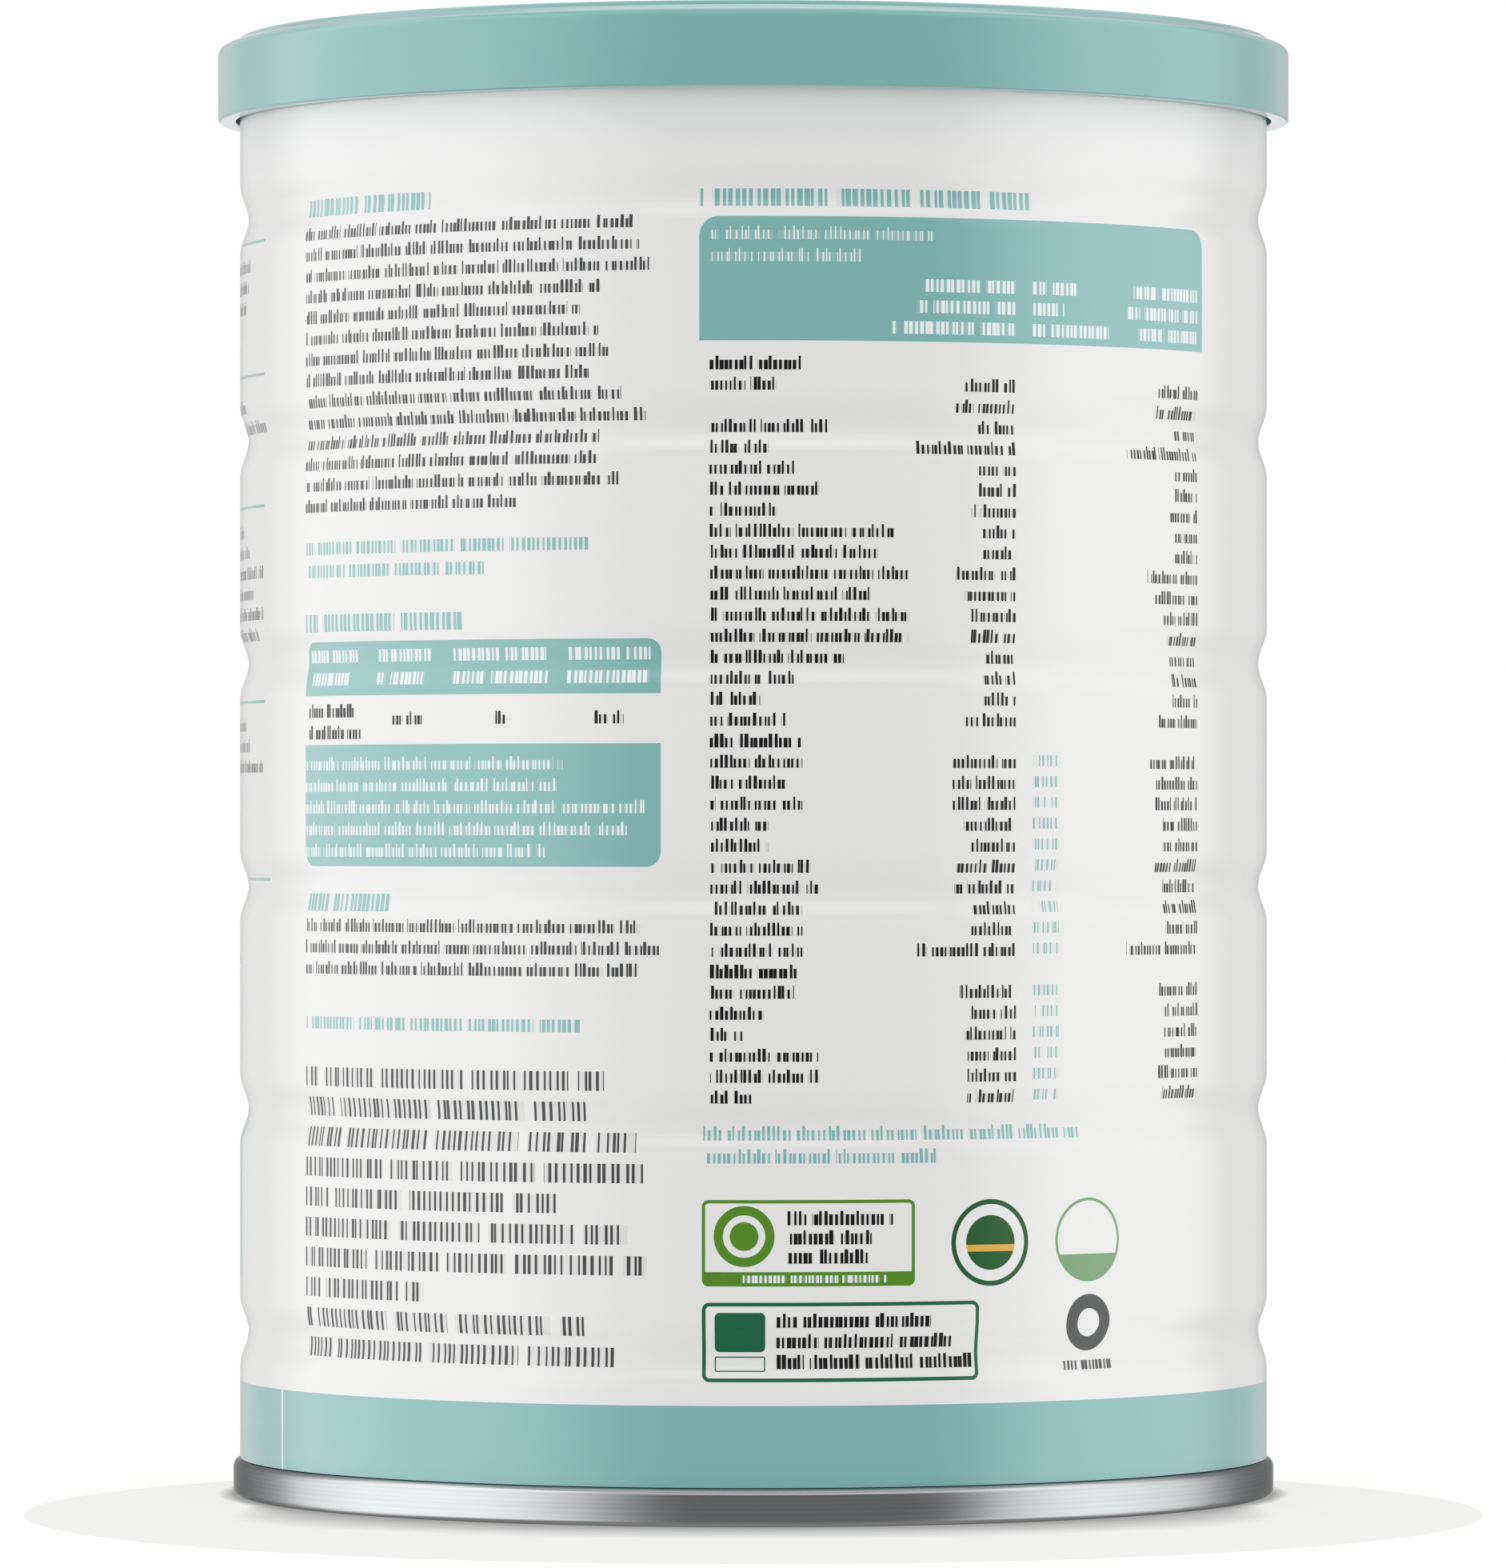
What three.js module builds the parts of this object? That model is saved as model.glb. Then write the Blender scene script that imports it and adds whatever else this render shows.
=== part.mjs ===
// A powder tin: a beaded, printed tinplate body, a bare tinplate end seamed on below, and a thick
// plastic cap pushed over the top. Millimetres, +Z up. The tin stands on z = 0, centred on the Z axis.
import * as THREE from "three";

// Every piece is turned about the Z axis. A multiple of four puts vertices on the X and Y axes.
const segments = 72;
const gap = 0.3;

// Body: a straight wall with evenly spaced beads rolled inwards
const bodyRadius = 63.7;
const beadCount = 6;
const beadPitch = 27.5;
const lowestBead = 20.3;
const beadDepth = 1.05;
const beadWidth = 8.8;
const stepsAcrossBead = 6;

// End: a double seam round a shallow recessed panel, on which the tin stands
const seamRadius = 64.5;
const seamHeight = 4.6;
const seamCrown = 1.1;
const seamFoot = 0.9;
const footInnerRadius = 62.4;
const recessRadius = 61.5;
const recessDepth = 3.5;
const ringRadii = [38, 52];
const ringWidth = 5;
const ringDrop = 0.8;

// Cap: a skirt with a rounded shoulder, and a stacking rim round a lower panel
const capRadius = 66.4;
const capLipHeight = 169.9;
const capShoulderHeight = 179.1;
const capShoulderRound = 1;
const capShoulderSlope = 70;
const capInnerRadius = bodyRadius + 0.5;
const capLipRound = 0.35;
const rimRadius = 64.1;
const rimHeight = 180.2;
const rimRound = 0.8;
const rimWidth = 3.2;
const rimCrease = 0.15;
const panelHeight = 178.7;
const panelThickness = 1.2;

const ceilingHeight = panelHeight - panelThickness;
const bodyTop = ceilingHeight - gap;
const bodyBottom = seamHeight + gap;

// Points on an arc of the section, from one angle to the other, in degrees from the outward radius
function arcPoints(centreRadius, centreHeight, round, fromDegrees, toDegrees, steps) {
  const points = [];
  for (let step = 0; step <= steps; step += 1) {
    const angle = THREE.MathUtils.degToRad(
      THREE.MathUtils.lerp(fromDegrees, toDegrees, step / steps),
    );
    const radius = centreRadius + round * Math.cos(angle);
    const height = centreHeight + round * Math.sin(angle);
    points.push(new THREE.Vector2(radius, height));
  }
  return points;
}

// The section runs from the axis, out along the underside, up the outside and back to the axis.
function turned(name, section, material) {
  const geometry = new THREE.LatheGeometry(section, segments);
  geometry.rotateX(Math.PI / 2);
  const mesh = new THREE.Mesh(geometry, material);
  mesh.name = name;
  return mesh;
}

// A bead is one smooth wave of the wall, deepest at its middle.
function beadPoints(middle) {
  const points = [];
  for (let step = 0; step <= stepsAcrossBead; step += 1) {
    const across = step / stepsAcrossBead - 0.5;
    const depth = beadDepth * Math.cos(Math.PI * across) ** 2;
    points.push(new THREE.Vector2(bodyRadius - depth, middle + across * beadWidth));
  }
  return points;
}

function makeBody() {
  const section = [
    new THREE.Vector2(0, bodyBottom),
    new THREE.Vector2(bodyRadius, bodyBottom),
  ];
  for (let bead = 0; bead < beadCount; bead += 1) {
    section.push(...beadPoints(lowestBead + bead * beadPitch));
  }
  section.push(new THREE.Vector2(bodyRadius, bodyTop));
  section.push(new THREE.Vector2(0, bodyTop));
  const enamel = new THREE.MeshStandardMaterial({
    color: "#e6e6e4",
    roughness: 0.25,
    metalness: 0,
  });
  return turned("can_body", section, enamel);
}

// A stiffening ring of the recessed panel: the sheet steps down a little and comes back up.
function ringPoints(radius) {
  const outer = radius + ringWidth / 2;
  const inner = radius - ringWidth / 2;
  const low = recessDepth - ringDrop;
  return [
    new THREE.Vector2(inner, recessDepth),
    new THREE.Vector2(inner + ringDrop, low),
    new THREE.Vector2(outer - ringDrop, low),
    new THREE.Vector2(outer, recessDepth),
  ];
}

function makeEnd() {
  const section = [new THREE.Vector2(0, recessDepth)];
  for (const radius of ringRadii) {
    section.push(...ringPoints(radius));
  }
  section.push(
    new THREE.Vector2(recessRadius, recessDepth),
    new THREE.Vector2(footInnerRadius - seamFoot / 2, seamFoot / 2),
    new THREE.Vector2(footInnerRadius, 0),
    ...arcPoints(seamRadius - seamFoot, seamFoot, seamFoot, -90, 0, 3),
    ...arcPoints(seamRadius - seamCrown, seamHeight - seamCrown, seamCrown, 0, 90, 4),
    new THREE.Vector2(0, seamHeight),
  );
  const tinplate = new THREE.MeshStandardMaterial({
    color: "#b9bbbc",
    roughness: 0.25,
    metalness: 1,
  });
  return turned("base_end", section, tinplate);
}

function makeCap() {
  const rimInner = rimRadius - rimWidth;
  const shoulder = arcPoints(
    capRadius - capShoulderRound,
    capShoulderHeight - capShoulderRound,
    capShoulderRound,
    0,
    capShoulderSlope,
    3,
  );
  const shoulderTop = shoulder[shoulder.length - 1];
  const slope = THREE.MathUtils.degToRad(90 - capShoulderSlope);
  const riseToRim = (shoulderTop.x - rimRadius) * Math.tan(slope);
  const section = [
    new THREE.Vector2(0, ceilingHeight),
    new THREE.Vector2(capInnerRadius, ceilingHeight),
    new THREE.Vector2(capInnerRadius, capLipHeight),
    ...arcPoints(capRadius - capLipRound, capLipHeight + capLipRound, capLipRound, -90, 0, 2),
    ...shoulder,
    new THREE.Vector2(rimRadius, shoulderTop.y + riseToRim - rimCrease),
    ...arcPoints(rimRadius - rimRound, rimHeight - rimRound, rimRound, 30, 90, 2),
    new THREE.Vector2(rimInner + rimRound, rimHeight),
    new THREE.Vector2(rimInner, rimHeight - rimRound),
    new THREE.Vector2(rimInner, panelHeight),
    new THREE.Vector2(0, panelHeight),
  ];
  const plastic = new THREE.MeshStandardMaterial({
    color: "#86b8b2",
    roughness: 0.35,
    metalness: 0,
  });
  return turned("lid", section, plastic);
}

const tin = new THREE.Group();
tin.add(makeBody(), makeEnd(), makeCap());

export default tin;
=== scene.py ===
# Powder tin: printed tinplate wall, bare tinplate end and moulded cap, dressed round its CAD frame.
# Blender 4.5. Lengths in the dictionaries are millimetres.
import math

import bpy
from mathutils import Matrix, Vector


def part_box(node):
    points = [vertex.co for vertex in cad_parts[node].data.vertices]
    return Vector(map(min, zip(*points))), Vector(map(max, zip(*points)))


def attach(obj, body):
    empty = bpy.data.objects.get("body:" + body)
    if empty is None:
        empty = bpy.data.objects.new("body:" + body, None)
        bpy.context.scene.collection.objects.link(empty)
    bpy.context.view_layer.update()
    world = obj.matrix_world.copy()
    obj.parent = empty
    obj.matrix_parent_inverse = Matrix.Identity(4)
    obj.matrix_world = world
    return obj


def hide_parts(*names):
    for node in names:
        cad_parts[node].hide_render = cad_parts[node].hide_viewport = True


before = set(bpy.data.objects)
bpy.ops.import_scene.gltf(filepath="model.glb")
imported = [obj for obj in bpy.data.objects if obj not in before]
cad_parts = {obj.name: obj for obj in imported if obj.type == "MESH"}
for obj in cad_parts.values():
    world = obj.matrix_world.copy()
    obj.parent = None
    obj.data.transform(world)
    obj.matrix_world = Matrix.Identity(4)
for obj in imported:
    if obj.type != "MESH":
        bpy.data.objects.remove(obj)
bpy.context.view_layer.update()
bpy.ops.object.select_all(action="DESELECT")

mm = 0.001
turnSteps = 240  # sides of every turned piece, a multiple of four so that vertices lie on X and Y
mergeUnder = 0.001  # millimetres between points that are merged after a turn
smoothUnder = 35  # degrees between faces that are shaded as one smooth surface
noiseSpread = (0.3, 0.7)  # where most values of a noise lie


def linear(hexColour):
    channels = [int(hexColour[i:i + 2], 16) / 255 for i in (1, 3, 5)]
    straight = [c / 12.92 if c <= 0.04045 else ((c + 0.055) / 1.055) ** 2.4 for c in channels]
    return (*straight, 1)


# Adds one node. A feed is a node (its first output), an output socket, or a plain value.
def add(tree, kind, feeds=(), **settings):
    made = tree.nodes.new("ShaderNode" + kind)
    for name, value in settings.items():
        setattr(made, name, value)
    for socket, feed in feeds.items() if isinstance(feeds, dict) else enumerate(feeds):
        if isinstance(feed, bpy.types.Node):
            tree.links.new(feed.outputs[0], made.inputs[socket])
        elif isinstance(feed, bpy.types.NodeSocket):
            tree.links.new(feed, made.inputs[socket])
        elif feed is not None:
            made.inputs[socket].default_value = feed
    return made


def newMaterial(name):
    material = bpy.data.materials.new(name)
    material.use_nodes = True
    tree = material.node_tree
    tree.nodes.clear()
    shader = add(tree, "BsdfPrincipled")
    add(tree, "OutputMaterial", [shader])
    return material, tree, shader


# Points on an arc of a section, in degrees from the outward radius
def arc(centreRadius, centreHeight, round, fromDegrees, toDegrees, steps=8):
    points = []
    for step in range(steps + 1):
        angle = math.radians(fromDegrees + (toDegrees - fromDegrees) * step / steps)
        radius = centreRadius + round * math.cos(angle)
        points.append((radius, centreHeight + round * math.sin(angle)))
    return points


# A section drawn from one vertex, extruded point by point, then spun round the tin's axis
def turn(name, section):
    bpy.ops.object.select_all(action="DESELECT")
    start = (section[0][0] * mm, 0, section[0][1] * mm)
    bpy.ops.mesh.primitive_plane_add(size=mm, location=start)
    piece = bpy.context.object
    piece.name = name
    bpy.ops.object.mode_set(mode="EDIT")
    bpy.ops.mesh.merge(type="CENTER")
    for here, there in zip(section, section[1:]):
        move = ((there[0] - here[0]) * mm, 0, (there[1] - here[1]) * mm)
        bpy.ops.mesh.extrude_vertices_move(TRANSFORM_OT_translate={"value": move})
    bpy.ops.mesh.select_all(action="SELECT")
    bpy.ops.mesh.spin(steps=turnSteps, angle=2 * math.pi, center=(0, 0, 0), axis=(0, 0, 1))
    bpy.ops.mesh.select_all(action="SELECT")
    bpy.ops.mesh.remove_doubles(threshold=mergeUnder * mm)
    bpy.ops.mesh.normals_make_consistent(inside=False)
    bpy.ops.object.mode_set(mode="OBJECT")
    bpy.ops.object.transform_apply(location=True, rotation=True, scale=True)
    bpy.ops.object.shade_smooth_by_angle(angle=math.radians(smoothUnder))
    return piece


# Camera: level with the middle of the tin, far enough back for the photograph's flat perspective
camera = {
    "distance": 1261,
    "height": 82.2,
    "lens": 233.1,
    "sensor": 36,
    "nearest": 50,
    "shiftAcross": -0.00026,
    "shiftUp": 0.0296,
}
cameraData = bpy.data.cameras.new("camera")
cameraData.lens = camera["lens"]
cameraData.sensor_width = camera["sensor"]
cameraData.shift_x = camera["shiftAcross"]
cameraData.shift_y = camera["shiftUp"]
cameraData.clip_start = camera["nearest"] * mm
cameraObject = bpy.data.objects.new("camera", cameraData)
cameraObject.location = (0, -camera["distance"] * mm, camera["height"] * mm)
cameraObject.rotation_euler = (math.radians(90), 0, 0)
bpy.context.scene.collection.objects.link(cameraObject)
bpy.context.scene.camera = cameraObject
print("camera set")


# Studio: an even pale room for matt surfaces. Gloss sees a softbox to the left and one to the
# right, each fading out towards its edges, and a pale ceiling. One more softbox lies overhead.
# glow: how bright the room is round the tin, in degrees from the camera's side, to the right.
# Edges are in degrees over the horizon. The floor gives most of its light itself, so it is even.
studio = {
    "fill": 0.89,
    "glow": [
        (-180, 0.95), (-176, 0.9), (-174, 0.6), (-167, 0.65), (-155, 0.8), (-140, 0.82),
        (-129, 1.15), (-118, 1.95), (-108, 2.2), (-95, 2.35), (-83, 2.35), (-70, 2.3),
        (-58, 2.2), (-48, 1.85), (-37, 1.25), (-27, 0.6), (-18, 0.3),
        (40, 0.3), (47, 0.6), (57, 1.4), (69, 1.95), (82, 2.15), (96, 2.0), (107, 1.8),
        (116, 1.5), (124, 1.0), (133, 0.65), (155, 0.7), (168, 0.55), (174, 0.5), (176, 0.9),
        (180, 0.95),
    ],
    "glowScale": 3.0,
    "plainGlow": 0.5,  # above and below the softboxes
    "lowEdge": (-55, -30),
    "highEdge": (48, 66),
    "ceilingGlow": 1.3,
    "ceilingEdge": (26, 42),
    "ceilingEnd": (50, 64),
    "ceilingDim": 0.25,
    "topGlow": 0.5,
    "topSize": 1200,
    "topHeight": 1200,
    "floorRadius": 550,
    "floorSides": 128,
    "floorGlow": 1.77,
    "floorPaint": 0.35,  # how much of its paint takes the studio's light
    "floorRoughness": 0.9,
    "floorColour": "#b9b9b8",
    "shadeRadius": 87.8,
    "shadeForward": 36.0,
    "shadeColour": "#aeaead",
    "contactWidth": (2, 19),  # behind and beside the tin, and in front of it
    "contactEdge": (0.35, 0.75),  # cosines from the front between which it widens
    "contactShare": 0.44,
}

overhead = bpy.data.lights.new("overhead", "AREA")
overhead.size = studio["topSize"] * mm
overhead.energy = studio["topGlow"] * math.pi * overhead.size ** 2
overheadObject = bpy.data.objects.new("overhead", overhead)
overheadObject.location = (0, 0, studio["topHeight"] * mm)
overheadObject.visible_camera = False
bpy.context.scene.collection.objects.link(overheadObject)

world = bpy.data.worlds.new("room")
world.use_nodes = True
room = world.node_tree
room.nodes.clear()
way = add(room, "TexCoord").outputs["Object"]
wayParts = add(room, "SeparateXYZ", [way]).outputs
wayFront = add(room, "Math", [wayParts["Y"], -1.0], operation="MULTIPLY")
wayTurn = add(room, "Math", [wayParts["X"], wayFront], operation="ARCTAN2")
wayShare = add(room, "MapRange", {0: wayTurn, 1: -math.pi, 2: math.pi, 3: 0.0, 4: 1.0})
glow = add(room, "ValToRGB", [wayShare])
stops = glow.color_ramp.elements
while len(stops) > 1:
    stops.remove(stops[-1])
for number, (degrees, level) in enumerate(studio["glow"]):
    position = (degrees + 180) / 360
    stop = stops[0] if number == 0 else stops.new(position)
    stop.position = position
    stop.color = (*[level / studio["glowScale"]] * 3, 1)


# A smooth step from one level to the other between two heights over the horizon, in degrees
def overHorizon(edge, below, above):
    low, high = [math.sin(math.radians(degrees)) for degrees in edge]
    return add(room, "MapRange", {0: wayParts["Z"], 1: low, 2: high, 3: below, 4: above},
               interpolation_type="SMOOTHSTEP")


overLow = overHorizon(studio["lowEdge"], 0.0, 1.0)
underHigh = overHorizon(studio["highEdge"], 1.0, 0.0)
inSoftbox = add(room, "Math", [overLow, underHigh], operation="MULTIPLY")
glowLevel = add(room, "Math", [glow, studio["glowScale"]], operation="MULTIPLY")
aroundTin = add(room, "Mix", {0: inSoftbox, 2: studio["plainGlow"], 3: glowLevel}).outputs[0]
overEdge = overHorizon(studio["ceilingEdge"], 0.0, studio["ceilingGlow"])
underEnd = overHorizon(studio["ceilingEnd"], 1.0, studio["ceilingDim"])
ceiling = add(room, "Math", [overEdge, underEnd], operation="MULTIPLY")
strength = add(room, "Math", [aroundTin, ceiling], operation="MAXIMUM")
white = (1, 1, 1, 1)
seen = add(room, "Background", {"Color": white, "Strength": 1.0})
reflected = add(room, "Background", {"Color": white, "Strength": strength})
fill = add(room, "Background", {"Color": white, "Strength": studio["fill"]})
rays = add(room, "LightPath")
filled = add(room, "MixShader", [rays.outputs["Is Diffuse Ray"], reflected, fill])
whole = add(room, "MixShader", [rays.outputs["Is Camera Ray"], filled, seen])
add(room, "OutputWorld", [whole])
world.cycles.sampling_method = "NONE"
bpy.context.scene.world = world
bpy.context.scene.view_settings.view_transform = "Standard"

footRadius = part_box("base_end")[1].x
bpy.ops.mesh.primitive_circle_add(vertices=studio["floorSides"], radius=studio["floorRadius"] * mm,
                                  fill_type="NGON")
floor = bpy.context.object
floor.name = "floor"
floorMaterial, floorTree, floorShader = newMaterial("paleFloorPaint")
floorPlace = add(floorTree, "TexCoord").outputs["Object"]
fromMiddle = add(floorTree, "VectorMath", [floorPlace], operation="LENGTH").outputs["Value"]
# Painted shade: a disc of floor, a little darker, that reaches out in front of the tin
shadeMiddle = (0, -studio["shadeForward"] * mm, 0)
fromShade = add(floorTree, "VectorMath", [floorPlace, shadeMiddle],
                operation="DISTANCE").outputs["Value"]
inShade = add(floorTree, "Math", [fromShade, studio["shadeRadius"] * mm], operation="LESS_THAN")
floorColour = add(floorTree, "Mix", {0: inShade, 6: linear(studio["floorColour"]),
                                     7: linear(studio["shadeColour"])}, data_type="RGBA")
# The tin's soft contact shadow, widest in front
floorDirection = add(floorTree, "VectorMath", [floorPlace], operation="NORMALIZE")
inFront = add(floorTree, "VectorMath", [floorDirection, (0, -1, 0)],
              operation="DOT_PRODUCT").outputs["Value"]
behindWidth, frontWidth = [width * mm for width in studio["contactWidth"]]
widenFrom, widenTo = studio["contactEdge"]
contactWidth = add(floorTree, "MapRange",
                   {0: inFront, 1: widenFrom, 2: widenTo, 3: behindWidth, 4: frontWidth},
                   interpolation_type="SMOOTHSTEP")
beyondFoot = add(floorTree, "Math", [fromMiddle, footRadius], operation="SUBTRACT")
contactPlace = add(floorTree, "Math", [beyondFoot, contactWidth], operation="DIVIDE")
contact = add(floorTree, "MapRange",
              {0: contactPlace, 1: 0.0, 2: 1.0, 3: studio["contactShare"], 4: 1.0})
floorPaint = add(floorTree, "VectorMath", {0: floorColour.outputs[2], 3: contact}, operation="SCALE")
floorBase = add(floorTree, "VectorMath", {0: floorPaint, 3: studio["floorPaint"]}, operation="SCALE")
floorTree.links.new(floorBase.outputs[0], floorShader.inputs["Base Color"])
floorTree.links.new(floorPaint.outputs[0], floorShader.inputs["Emission Color"])
floorShader.inputs["Emission Strength"].default_value = studio["floorGlow"]
floorShader.inputs["Roughness"].default_value = studio["floorRoughness"]
floorShader.inputs["Specular IOR Level"].default_value = 0
floor.visible_glossy = False
floor.visible_diffuse = False
floor.visible_shadow = False
floor.data.materials.append(floorMaterial)
print("studio set")


# Printed wall: a straight tinplate wall with six beads rolled inwards
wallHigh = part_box("can_body")[1]
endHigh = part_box("base_end")[1]
hairline = 0.02  # between the wall and the seam
wall = {
    "radius": wallHigh.x / mm,
    "top": wallHigh.z / mm,
    "bottom": endHigh.z / mm + hairline,
    "footRound": 0.03,
    "beadCount": 6,
    "beadPitch": 27.5,
    "lowestBead": 20.3,
    "beadDepth": 1.05,
    "beadWidth": 8.8,
    "stepsAcrossBead": 20,
    "beadAllowance": 0.6,  # how far the print over the front makes up for the beads
    "allowanceEdge": (60, 76),  # degrees from the front over which that fades out
}


def wallSection():
    radius = wall["radius"]
    foot = wall["footRound"]
    points = [(0, wall["bottom"]), *arc(radius - foot, wall["bottom"] + foot, foot, -90, 0, 4)]
    for bead in range(wall["beadCount"]):
        middle = wall["lowestBead"] + bead * wall["beadPitch"]
        for step in range(wall["stepsAcrossBead"] + 1):
            across = step / wall["stepsAcrossBead"] - 0.5
            depth = wall["beadDepth"] * math.cos(math.pi * across) ** 2
            points.append((radius - depth, middle + across * wall["beadWidth"]))
    points += [(radius, wall["top"]), (0, wall["top"])]
    return points


# A map for flat copies of the wall: its front half lies in a tall strip and its back half in a
# shorter one above. The two hidden ends are little discs in what is left.
wallMap = {
    "name": "OFBake",
    "margin": 0.01,
    "frontStrip": (0.01, 0.61),
    "backStrip": (0.63, 0.96),
    "discHeight": 0.982,
    "discRadius": 0.01,
    "discPlaces": {"upper": 0.03, "lower": 0.07},
    "flatOver": 0.9,  # a face whose normal stands up more than this is part of an end
}


def mapWall(piece):
    layer = piece.data.uv_layers.new(name=wallMap["name"])
    margin = wallMap["margin"]
    discScale = wallMap["discRadius"] / wall["radius"]
    for face in piece.data.polygons:
        front = -1 if face.center.y < 0 else 1
        low, high = wallMap["frontStrip"] if front < 0 else wallMap["backStrip"]
        for corner, vertex in zip(face.loop_indices, face.vertices):
            x, y, z = [value / mm for value in piece.data.vertices[vertex].co]
            if abs(face.normal.z) > wallMap["flatOver"]:
                discMiddle = wallMap["discPlaces"]["upper" if face.normal.z > 0 else "lower"]
                across = discMiddle + discScale * x
                layer.data[corner].uv = (across, wallMap["discHeight"] + discScale * y)
            else:
                halfTurn = 0.5 + math.atan2(-front * x, front * y) / math.pi
                across = margin + (1 - 2 * margin) * halfTurn
                layer.data[corner].uv = (across, low + (high - low) * z / wall["top"])
    piece.data.uv_layers.active = layer


wallPiece = turn("printedWall", wallSection())
mapWall(wallPiece)
print("wall turned:", len(wallPiece.data.polygons), "faces")

# Lithographed tinplate: white enamel and flat inks rolled on the sheet, then a gloss varnish baked
# over. To the eye that is a clean white with crisp-edged colour under one slightly rippled gloss.
inks = {
    "enamel": "#ebebea",
    "sage": "#7cb6b1",
    "pale": "#eef5f4",
    "dark": "#0e0f10",
    "grey": "#3c3e40",
    "green": "#508a0e",
    "forest": "#0c5722",
    "pine": "#086344",
    "leaf": "#64985f",
    "ochre": "#e0ab1c",
    "slate": "#48494a",
}
# The varnish over them: ripple is the width of its waves and rippleDepth their height, in millimetres
varnish = {
    "ripple": 14,
    "rippleDepth": 0.01,
    "rippleStrength": 0.3,
    "rippleSpread": (0.1, 0.9),
    "roughness": (0.3, 0.38),
    "coatRoughness": 0.05,
    "coatIOR": 1.62,
    "specular": 0.15,
    "dullUnder": 0.3,  # lightness of an ink below which it dulls the varnish
    "leastCoat": 0.15,
}

# The print lies flat on the wall: across is the distance round it from the front, to the right, and
# up the height. It is cut at the right, where nothing is printed, so the back's middle is at -200.1.
cutAt = 153
band = {"top": 14.3, "seamAt": -71.1, "seamWidth": 0.35}

# Fields of ink, painted in this order. rings: how far in from the edge each ink starts.
# clip: the heights between which the last ring shows.
fields = [
    {"name": "tableHead", "across": (-6.4, 64.9), "up": (135.0, 154.7), "corner": 2.4,
     "rings": [(0, "sage")], "clip": (140.0, 154.7)},
    {"name": "guideHead", "across": (-64.7, -11.0), "up": (92.4, 104.9), "corner": 1.6,
     "rings": [(0, "sage")], "clip": (98.4, 104.9)},
    {"name": "guideNote", "across": (-64.7, -11.0), "up": (77.9, 96.5), "corner": 1.8,
     "rings": [(0, "sage")], "clip": (77.9, 92.5)},
    {"name": "wideBadge", "across": (-6.1, 19.4), "up": (28.4, 38.6), "corner": 0.8,
     "rings": [(0, "green"), (0.4, "enamel")], "clip": (30.1, 38.6)},
    {"name": "wideBadgeDisc", "across": (-4.7, 2.5), "up": (30.7, 37.9), "corner": 3.6,
     "rings": [(0, "green"), (1.1, "enamel"), (1.9, "green")]},
    {"name": "firstSeal", "across": (24.0, 34.3), "up": (28.2, 38.5), "corner": 5.15,
     "rings": [(0, "forest"), (0.6, "enamel"), (1.9, "forest")]},
    {"name": "firstSealStripe", "across": (25.9, 32.4), "up": (30.1, 36.6), "corner": 3.25,
     "rings": [(0, "ochre")], "clip": (32.3, 33.1)},
    {"name": "secondSeal", "across": (38.2, 48.2), "up": (28.4, 38.4), "corner": 5.0,
     "rings": [(0, "leaf"), (0.35, "enamel")], "clip": (31.7, 38.4)},
    {"name": "longBadge", "across": (-6.1, 27.6), "up": (17.1, 26.5), "corner": 0.9,
     "rings": [(0, "pine"), (0.45, "enamel")]},
    {"name": "longBadgeBlock", "across": (-4.6, 1.4), "up": (20.6, 25.3), "corner": 0.6,
     "rings": [(0, "pine")]},
    {"name": "longBadgeGauge", "across": (-4.6, 1.4), "up": (18.3, 20.1), "corner": 0.2,
     "rings": [(0, "pine"), (0.15, "enamel")]},
    {"name": "mark", "across": (39.9, 46.7), "up": (20.1, 26.9), "corner": 3.4,
     "rings": [(0, "slate"), (1.7, "enamel")]},
    {"name": "sidePanel", "across": (-131.0, -91.2), "up": (26.5, 48.0), "corner": 2.4,
     "rings": [(0, "sage")]},
    {"name": "firstSideDisc", "across": (106.0, 118.0), "up": (138.0, 150.0), "corner": 6.0,
     "rings": [(0, "sage"), (1.6, "pale"), (2.2, "sage")]},
    {"name": "secondSideDisc", "across": (106.0, 118.0), "up": (110.5, 122.5), "corner": 6.0,
     "rings": [(0, "leaf"), (1.6, "pale"), (2.2, "leaf")]},
    {"name": "thirdSideDisc", "across": (106.0, 118.0), "up": (83.0, 95.0), "corner": 6.0,
     "rings": [(0, "pine"), (1.6, "pale"), (2.2, "pine")]},
    {"name": "backPanel", "across": (-242.1, -158.1), "up": (80.0, 152.0), "corner": 6.0,
     "rings": [(0, "sage"), (2.0, "pale"), (2.5, "sage")]},
    {"name": "backDisc", "across": (-215.1, -185.1), "up": (113.0, 143.0), "corner": 15.0,
     "rings": [(0, "pale"), (1.5, "sage"), (7.0, "pale")]},
    {"name": "leftBackSeal", "across": (-236.1, -222.1), "up": (56.5, 70.5), "corner": 7.0,
     "rings": [(0, "sage"), (2.5, "pale")]},
    {"name": "middleBackSeal", "across": (-207.1, -193.1), "up": (56.5, 70.5), "corner": 7.0,
     "rings": [(0, "leaf"), (2.5, "pale")]},
    {"name": "rightBackSeal", "across": (-178.1, -164.1), "up": (56.5, 70.5), "corner": 7.0,
     "rings": [(0, "pine"), (2.5, "pale")]},
]

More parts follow.
